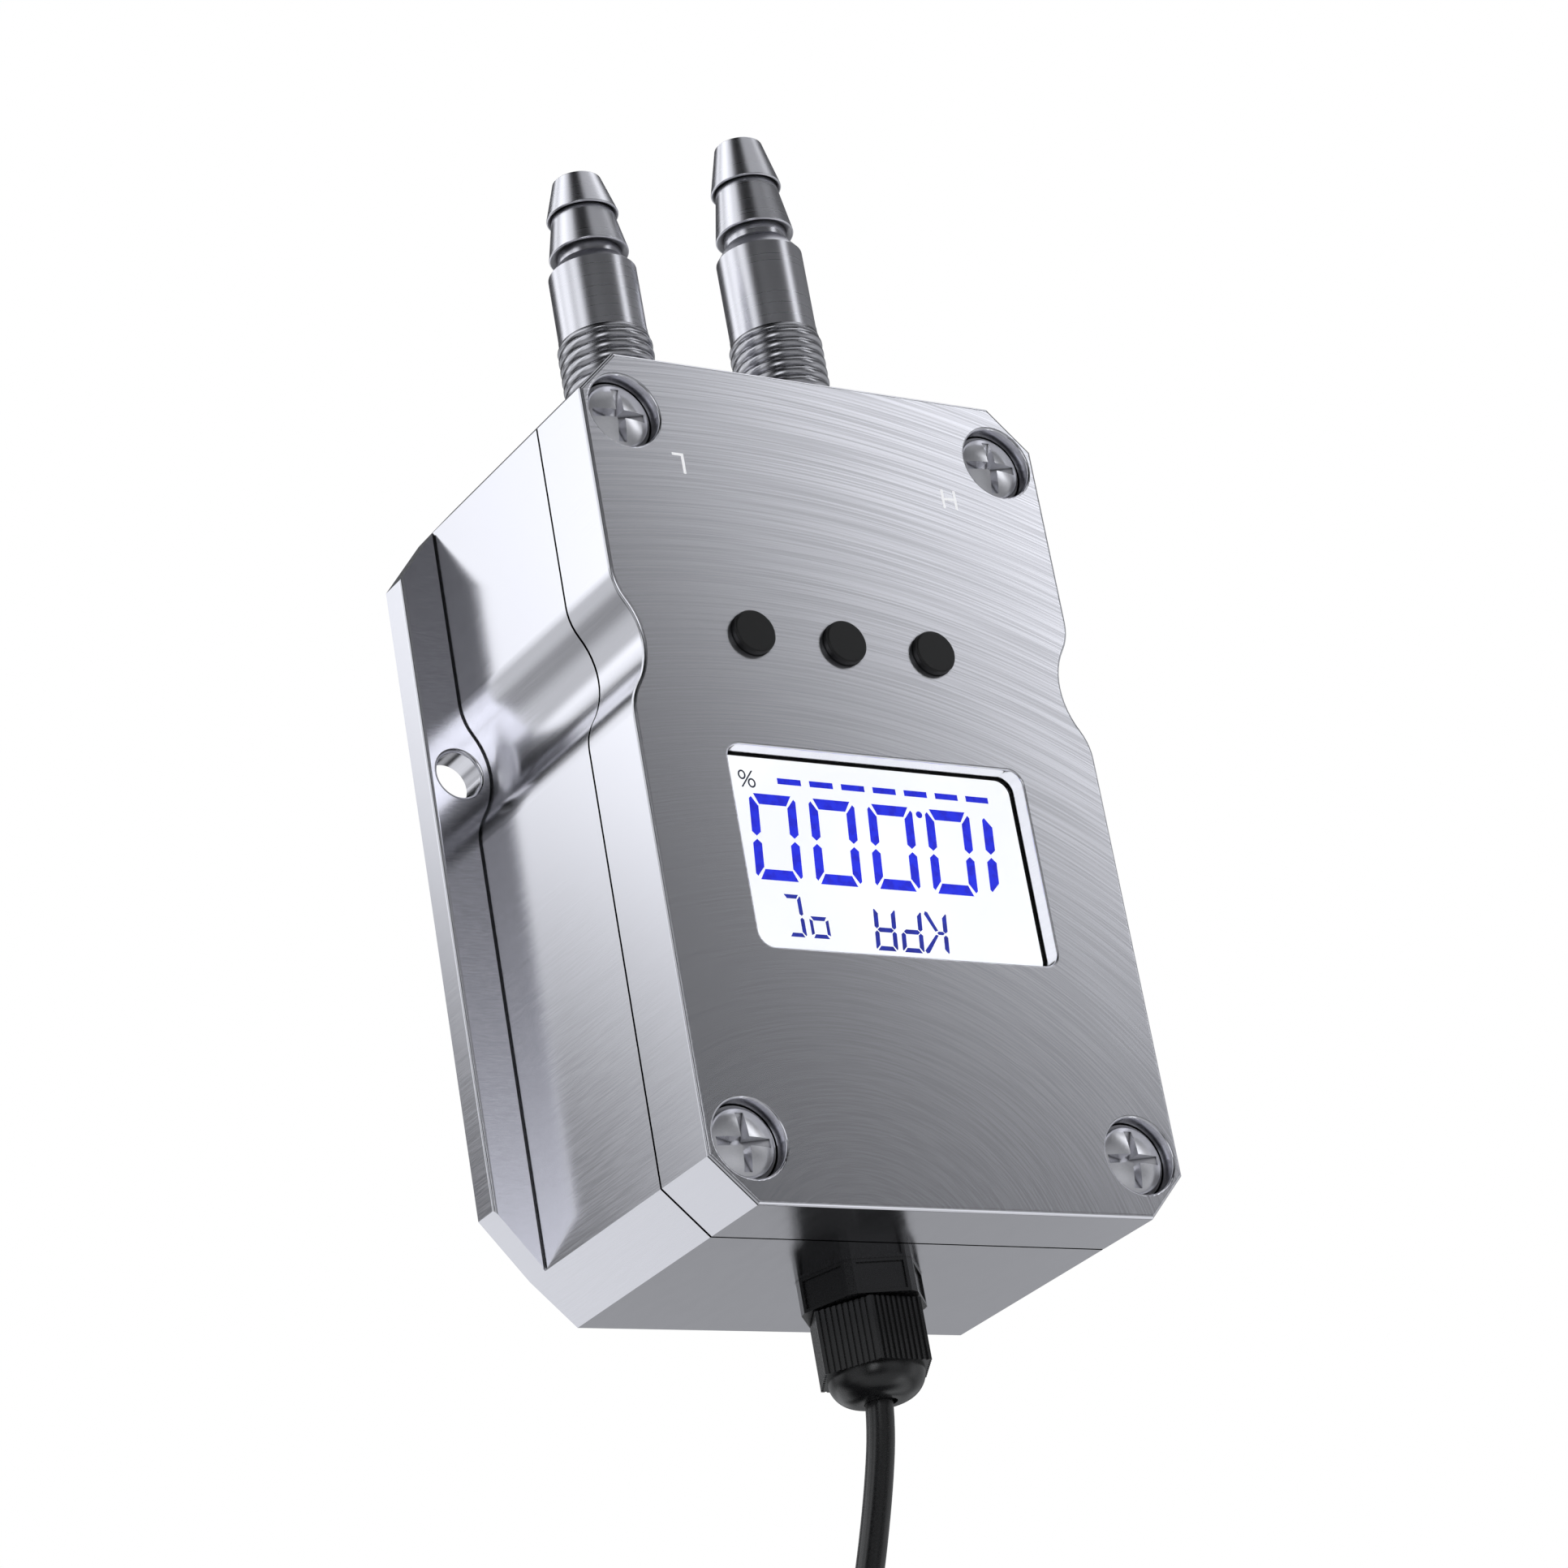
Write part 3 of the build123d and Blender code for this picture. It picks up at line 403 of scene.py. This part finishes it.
# Each turn keeps its row for this share of its length and then crosses to the next one. Where that lies
# at another depth, the crossing swells out from the coil. All turns are a little uneven.
KEEP_SHARE = 0.7
SWELL = 1.3
UNEVEN = 0.18
outer, central, inner = (COIL_RADIUS + step * CABLE_WIDTH for step in (1, 0, -1))
rear, halfway, fore = (COIL_Y + step * CABLE_WIDTH for step in (1, 0, -1))
coil_rows = [(outer, rear), (central, rear), (inner, rear), (inner, halfway), (central, halfway),
             (outer, halfway), (outer, fore), (central, fore), (inner, fore)]
for turn, (radius, depth) in enumerate(coil_rows):
    next_radius, next_depth = coil_rows[min(turn + 1, len(coil_rows) - 1)]
    for step in range(COIL_STEPS):
        share = max(0.0, (step / COIL_STEPS - KEEP_SHARE) / (1 - KEEP_SHARE))
        share = share * share * (3 - 2 * share)
        side = 0 if next_depth == depth else math.copysign(1, radius - COIL_RADIUS)
        swell = side * SWELL * math.sin(math.pi * share)
        uneven = UNEVEN * math.sin(1.7 * turn + 4.0 * math.pi * step / COIL_STEPS)
        reach = (radius + (next_radius - radius) * share + swell + uneven) / math.cos(math.pi / COIL_STEPS)
        angle = math.pi + 2 * math.pi * step / COIL_STEPS
        cable_points.append((COIL_X + reach * math.cos(angle), depth + (next_depth - depth) * share,
                             COIL_Z + reach * math.sin(angle)))
cable_points.append((COIL_X - inner, fore, COIL_Z))
cable_points += tail_points

cable_data = bpy.data.curves.new("cable", "CURVE")
cable_data.dimensions = "3D"
spline = cable_data.splines.new("NURBS")
spline.points.add(len(cable_points) - 1)
for point, place in zip(spline.points, cable_points):
    point.co = (place[0] * MM, place[1] * MM, place[2] * MM, 1.0)
spline.order_u = 3
spline.use_endpoint_u = True
spline.resolution_u = 8
cable_data.bevel_depth = CABLE_WIDTH / 2 * MM
cable_data.bevel_resolution = 6
cable_data.use_fill_caps = True
cable = piece("cable", cable_data, jacket)
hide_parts("cable_run", "cable_coil", "cable_tail")


def thread_ridges(side, height):
    """Rounded ridges up to height over the housing; side is -1 at the low port and 1 at the high one."""
    first, top = TOP_Z - 1.0, TOP_Z + height
    around, per_pitch = 96, 14
    root = THREAD_CORE - 0.06
    first_phase = 0.55
    rows = int((top - first) / THREAD_PITCH * per_pitch)

    def build(bm):
        rings = []
        for row in range(rows + 1):
            z = first + (top - first) * row / rows
            fade = min(1.0, (top - z) / (0.7 * THREAD_PITCH))
            ring = []
            for step in range(around):
                angle = 2 * math.pi * step / around
                phase = (z - top) / THREAD_PITCH - step / around + first_phase
                place = 2 * (phase - math.floor(phase)) - 1
                radius = root + fade * (THREAD_CREST - root) * math.sqrt(max(0.0, 1 - place * place))
                ring.append(bm.verts.new((side * PORT_X + radius * math.cos(angle),
                                          PORT_Y + radius * math.sin(angle), z)))
            rings.append(ring)
        for lower, upper in zip(rings, rings[1:]):
            for step in range(around):
                after = (step + 1) % around
                bm.faces.new((lower[step], lower[after], upper[after], upper[step]))
        bm.faces.new(list(reversed(rings[0])))
        bm.faces.new(rings[-1])

    return mesh_from("thread_ridges", build)


for side, name, height in ((-1, "thread_low", THREAD_LOW), (1, "thread_high", THREAD_HIGH)):
    ridges = piece(name, thread_ridges(side, height), thread)
    for face in ridges.data.polygons:
        face.use_smooth = True


# Display and marks
def slab(bm, outline, depth, thickness):
    """A thin flat shape that stands forward of depth; outline is x and z on the part."""
    back = [bm.verts.new((x, -depth, z)) for x, z in outline]
    front = [bm.verts.new((x, -depth - thickness, z)) for x, z in outline]
    bm.faces.new(back)
    bm.faces.new(list(reversed(front)))
    for index in range(len(outline)):
        after = (index + 1) % len(outline)
        bm.faces.new((back[index], front[index], front[after], back[after]))


def on_window(outline):
    """The place on the part of an outline given from the window's centre, as one reads the display."""
    return [(-x, WINDOW_Z - z) for x, z in outline]


def glyph(segments, left, bottom, width, height, side, level, gap, cut, slant):
    """Outlines of a seven-segment figure; side and level are the widths of its upright and level bars."""
    waist = height / 2 + 0.015 * height
    half = side / 2
    bar = level / 2
    shapes = {
        "a": [(cut, height), (width - cut, height), (width - side - gap, height - level),
              (side + gap, height - level)],
        "d": [(side + gap, level), (width - side - gap, level), (width - cut, 0), (cut, 0)],
        "g": [(half + gap, waist), (side + gap, waist + bar),
              (width - side - gap, waist + bar), (width - half - gap, waist),
              (width - side - gap, waist - bar), (side + gap, waist - bar)],
        "f": [(0, height - 1.15 * cut), (0.45 * cut, height - 0.65 * cut),
              (side - gap, height - level - gap), (side, height - level - 2 * gap),
              (side, waist + half + gap), (half, waist + 1.6 * gap),
              (0, waist + half + gap)],
        "e": [(0, 1.15 * cut), (0, waist - half - gap), (half, waist - 1.6 * gap),
              (side, waist - half - gap), (side, level + 2 * gap), (side - gap, level + gap),
              (0.45 * cut, 0.65 * cut)],
    }
    for right, own in (("b", "f"), ("c", "e")):
        shapes[right] = [(width - x, z) for x, z in reversed(shapes[own])]
    return [[(left + x + slant * z, bottom + z) for x, z in shapes[name]] for name in segments]


# The row of big figures: four noughts behind a one, a row of seven dashes and the point
DIGIT = dict(width=7.45, height=12.8, side=1.42, level=1.58, gap=0.14, cut=0.72, slant=0.088)
DIGITS_LEFT, DIGITS_BOTTOM, DIGIT_PITCH = -16.7, -9.55, 9.58
ONE = {**DIGIT, "height": 12.3, "side": 1.6}
ONE_LEFT, ONE_BOTTOM = -26.3, -9.45
DASHES_LEFT, DASH_LOW, DASH_HIGH = -20.45, -12.15, -11.25
DASH_PITCH, DASH_WIDTH = 5.183, 3.8
POINT_X, POINT_Z, POINT_RADIUS, POINT_STEPS = -8.15, -8.55, 0.52, 24
big_shapes = []
for index in range(4):
    big_shapes += glyph("abcdef", DIGITS_LEFT + DIGIT_PITCH * index, DIGITS_BOTTOM, **DIGIT)
big_shapes += glyph("bc", ONE_LEFT, ONE_BOTTOM, **ONE)
for index in range(7):
    left = DASHES_LEFT + DASH_PITCH * index
    right = left + DASH_WIDTH
    big_shapes.append([(left, DASH_LOW), (right, DASH_LOW), (right, DASH_HIGH), (left, DASH_HIGH)])
point_angles = [2 * math.pi * k / POINT_STEPS for k in range(POINT_STEPS)]
big_shapes.append([(POINT_X + POINT_RADIUS * math.cos(angle), POINT_Z + POINT_RADIUS * math.sin(angle))
                   for angle in point_angles])

# The units: KPA, whose K has three strokes of its own beside its stem, and degrees Celsius
LETTER = dict(height=6.35, side=0.72, level=0.68, gap=0.08, cut=0.3, slant=0.105)
LETTERS_BOTTOM = 6.1
K_LEFT, P_LEFT, A_LEFT = -9.45, -5.3, -1.0
UNIT = dict(side=0.62, level=0.6, gap=0.08, cut=0.3, slant=0.0)
CELSIUS_LEFT, CELSIUS_BOTTOM = 14.12, 5.15
DEGREE_LEFT, DEGREE_BOTTOM = 10.2, 8.15
small_shapes = glyph("abcefg", A_LEFT, LETTERS_BOTTOM, width=3.55, **LETTER)
small_shapes += glyph("abefg", P_LEFT, LETTERS_BOTTOM, width=3.55, **LETTER)
small_shapes += glyph("ef", K_LEFT, LETTERS_BOTTOM, width=3.6, **LETTER)
small_shapes += [[(K_LEFT + x + LETTER["slant"] * z, LETTERS_BOTTOM + z) for x, z in stroke] for stroke in (
    [(0.5, 3.15), (0.8, 3.4), (1.5, 3.4), (1.75, 3.15), (1.5, 2.9), (0.8, 2.9)],
    [(1.55, 3.5), (2.0, 3.4), (4.0, 5.9), (3.75, 6.3), (3.3, 6.2)],
    [(1.55, 2.8), (3.1, 0.1), (3.5, 0.0), (3.65, 0.45), (2.05, 2.95)],
)]
small_shapes += glyph("adef", CELSIUS_LEFT, CELSIUS_BOTTOM, width=2.9, height=6.2, **UNIT)
small_shapes += glyph("ad", DEGREE_LEFT, DEGREE_BOTTOM, width=3.15, height=3.2, **UNIT)
small_shapes += [[(DEGREE_LEFT + x, DEGREE_BOTTOM + z) for x, z in stroke] for stroke in (
    [(0.05, 0.42), (0.05, 2.78), (0.55, 2.55), (0.55, 0.65)],
    [(2.6, 0.65), (2.6, 2.55), (3.1, 2.78), (3.1, 0.42)],
)]


def bands(outside, inside):
    """The strip between two closed outlines, as a row of four-sided shapes."""
    pairs = list(zip(outside, inside))
    return [[far, next_far, next_near, near] for (far, near), (next_far, next_near)
            in zip(pairs, pairs[1:] + pairs[:1])]


def ring_shapes(centre_x, centre_z, around=20):
    """One oval ring of the per cent sign, as a row of four-sided shapes."""
    wide, high, stroke = 0.62, 0.72, 0.25

    def oval(inset):
        angles = [2 * math.pi * k / around for k in range(around)]
        return [(centre_x + (wide - inset) * math.cos(angle), centre_z + (high - inset) * math.sin(angle))
                for angle in angles]

    return bands(oval(0.0), oval(stroke))


percent_shapes = ring_shapes(18.65, -11.05) + ring_shapes(20.05, -12.2)
percent_shapes.append([(18.22, -12.9), (18.5, -12.9), (20.42, -10.35), (20.14, -10.35)])


def shapes_mesh(name, shapes):
    """A mesh of thin shapes on the display's face, all moved a little to the right and up."""
    aside, up, thickness = 0.2, 0.25, 0.02

    def build(bm):
        for outline in shapes:
            slab(bm, on_window([(x + aside, z + up) for x, z in outline]), DISPLAY_DEPTH, thickness)

    return mesh_from(name, build)


for name, shapes, finish in (
        ("display_segments", big_shapes, ink),
        ("display_units", small_shapes, small_ink),
        ("display_percent", percent_shapes, percent_ink)):
    piece(name, shapes_mesh(name, shapes), finish)


def build_window_seal(bm):
    """A black bead round the foot of the window's wall, on the pane."""
    gap, corner, wide, high = 0.1, 2.2, 0.24, 0.08
    panel_low, panel_high = box("display_panel")
    half_x = (panel_high[0] - panel_low[0]) / 2 + gap
    half_z = (panel_high[2] - panel_low[2]) / 2 + gap
    steps = 8

    def rounded(radius):
        outline = []
        for side_x, side_z, first in ((1, 1, 0), (-1, 1, 90), (-1, -1, 180), (1, -1, 270)):
            for step in range(steps + 1):
                angle = math.radians(first + 90 * step / steps)
                outline.append((side_x * (half_x - corner) + radius * math.cos(angle),
                                side_z * (half_z - corner) + radius * math.sin(angle)))
        return outline

    for shape in bands(rounded(corner), rounded(corner - wide)):
        slab(bm, on_window(shape), PANE_FRONT, high)


piece("window_seal", mesh_from("window_seal", build_window_seal), seal)


def build_marks(bm):
    """The low and high marks, printed upside down beside the ports."""
    thickness = 0.015
    # The left, the right, the low and the high side of each stroke
    low_mark = [(-23.34, -22.90, 27.05, 30.22), (-24.75, -23.34, 29.82, 30.22)]
    high_mark = [(20.15, 20.58, 27.15, 30.2), (22.25, 22.68, 27.15, 30.2), (20.58, 22.25, 28.5, 28.92)]
    for left, right, low, high in low_mark + high_mark:
        slab(bm, [(left, low), (right, low), (right, high), (left, high)], FACE_DEPTH, thickness)


piece("port_marks", mesh_from("port_marks", build_marks), white_print_painted_glow)


# Studio
def stage_object(name, bm, finish):
    """A thing round the part, made from bm."""
    data = bpy.data.meshes.new(name)
    bm.to_mesh(data)
    bm.free()
    data.materials.append(finish)
    made = bpy.data.objects.new(name, data)
    bpy.context.scene.collection.objects.link(made)
    return made


def floor_finish(name):
    """Pale matt paint."""
    finish = Finish(name, Roughness=0.85)
    cloud = finish.noise(finish.place(), 3.0, 3.0)
    finish.feed(Base_Color=finish.blend(cloud, (0.80, 0.80, 0.81, 1), (0.84, 0.84, 0.85, 1)))
    return finish.material


def tent_finish(name, windows):
    """Cloth of a light tent that glows in soft-edged windows only."""
    finish = Finish(name)
    x, y, z = finish.parts(finish.place())
    azimuth = finish.math("DEGREES", finish.math("ARCTAN2", x, finish.times(y, -1.0)))
    elevation = finish.math("DEGREES", finish.math("ARCTAN2", z, finish.distance(x, y)))
    total = 0.0
    for turn, tilt, wide, high, side_edge, high_edge, lean, level in windows:
        up = finish.minus(elevation, tilt)
        aside = finish.minus(azimuth, finish.math("MULTIPLY_ADD", up, lean, turn))
        aside = finish.math("ABSOLUTE", finish.math("WRAP", aside, 180.0, -180.0))
        in_width = finish.spread(aside, (wide + side_edge) / 2, (wide - side_edge) / 2, 0.0, 1.0)
        in_height = finish.spread(finish.math("ABSOLUTE", up), (high + high_edge) / 2,
                                  (high - high_edge) / 2, 0.0, 1.0)
        total = finish.math("MULTIPLY_ADD", finish.times(in_width, in_height), level, total)
    glow = finish.node("Emission", None, {"Color": (0.96, 0.975, 1.0, 1), "Strength": total})
    finish.set(finish.tree.nodes["Material Output"], {"Surface": glow})
    return finish.material


# The tent's windows. Each has the turn and the tilt of its middle, its width, its height, the softness
# of its sides and of its ends, all in degrees, then the lean of its sides and its level. Turn 0 is the
# viewer's side, and 90 the right. Most come from a least-squares fit to the tones of the metal in the
# photograph, and the rest were set one by one.
tent_windows = [
    # To the left, from its front to its rear
    (-75, 28, 20, 35, 11, 10, 0.09, 0.63),
    (-82, -16, 44, 44, 16, 14, 0.0, 0.40),
    (-98, 42, 52, 44, 22, 18, 0.0, 0.55),
    (-122, 27, 38, 75, 3, 30, 0.28, 0.62),
    (-122, 59, 101, 17, 20, 14, 0.0, 0.40),
    (-149, 41, 18, 42, 8, 11, -0.39, 1.12),
    # In front, from the left to the right
    (-36, -1, 15, 31, 3, 5, 0.22, 1.46),
    (-10, 8, 68, 37, 20, 22, -0.04, 0.25),
    (32, -18, 84, 34, 20, 14, 0.0, 0.28),
    (38, 61, 96, 23, 16, 16, 0.0, 0.49),
    (42, 27, 11, 22, 7, 10, -0.62, 1.85),
    (43, 13, 21, 14, 17, 8, 0.02, 0.18),
    # To the right
    (92, -4, 76, 56, 24, 18, 0.0, 0.40),
    (115, 64, 110, 31, 20, 12, -0.06, 0.93),
    (117, 30, 105, 26, 20, 16, 0.01, 0.11),
    # Behind
    (146, -17, 44, 24, 12, 10, 0.0, 0.36),
    (180, 0, 48, 46, 14, 14, 0.0, 0.50),
    (196, -30, 50, 30, 12, 12, 0.0, 0.77),
    # Below
    (90, -51, 108, 24, 19, 17, -0.06, 0.72),
    (-16, -58, 150, 46, 30, 20, 0.0, 0.42),
]

# The floor; its half turn only shows in the faint cloud of the paint
floor_reach, floor_z = 6.0, -0.30
floor_mesh = bmesh.new()
bmesh.ops.create_grid(floor_mesh, x_segments=1, y_segments=1, size=floor_reach)
floor = stage_object("floor", floor_mesh, floor_finish("floor_paint"))
floor.location = (0.0, 0.0, floor_z)
floor.rotation_euler = (0.0, 0.0, math.pi)
floor.visible_glossy = False

# The tent shows in the part's gloss alone
tent_radius = 1.4
tent_mesh = bmesh.new()
bmesh.ops.create_uvsphere(tent_mesh, u_segments=64, v_segments=32, radius=tent_radius)
tent = stage_object("tent", tent_mesh, tent_finish("tent_cloth", tent_windows))
tent.visible_camera = False
tent.visible_diffuse = False
tent.visible_shadow = False
tent.visible_transmission = False


def toward(azimuth, elevation, distance):
    """A point that far from the object; azimuth 0 is the viewer's side, 90 the right."""
    a, e = math.radians(azimuth), math.radians(elevation)
    return Vector((math.sin(a) * math.cos(e), -math.cos(a) * math.cos(e), math.sin(e))) * distance


def lamp(name, azimuth, elevation, distance, size, power):
    """A square lamp that looks at the part and shows in no gloss."""
    data = bpy.data.lights.new(name, "AREA")
    data.size = size
    data.energy = power
    made = bpy.data.objects.new(name, data)
    made.location = toward(azimuth, elevation, distance)
    made.rotation_euler = (-made.location).to_track_quat("-Z", "Y").to_euler()
    made.visible_glossy = False
    bpy.context.scene.collection.objects.link(made)


lamp("lamp_right", azimuth=68, elevation=42, distance=1.6, size=0.9, power=3.8)
lamp("lamp_left", azimuth=-110, elevation=44, distance=1.8, size=1.0, power=4.7)
lamp("lamp_top", azimuth=10, elevation=84, distance=1.8, size=1.0, power=4.7)


def build_world(name):
    """White where the camera, a gloss or a clear piece sees it, and softer as a light on matt faces."""
    world = bpy.data.worlds.new(name)
    world.use_nodes = True
    world.node_tree.nodes.clear()
    graph = Graph(world.node_tree)
    camera_ray, gloss_ray, clear_ray = (graph.node("LightPath", output=ray) for ray in (
        "Is Camera Ray", "Is Glossy Ray", "Is Transmission Ray"))
    direct = graph.math("MAXIMUM", graph.math("MAXIMUM", camera_ray, gloss_ray), clear_ray)
    soft = graph.node("Background", None, {"Color": (0.95, 0.97, 1.0, 1), "Strength": 0.55})
    white = graph.node("Background", None, {"Color": (1, 1, 1, 1), "Strength": 1.0})
    mix = graph.node("MixShader", None, {0: direct, 1: soft, 2: white})
    graph.set(graph.tree.nodes.new("ShaderNodeOutputWorld"), {"Surface": mix})
    return world


bpy.context.scene.world = build_world("studio")
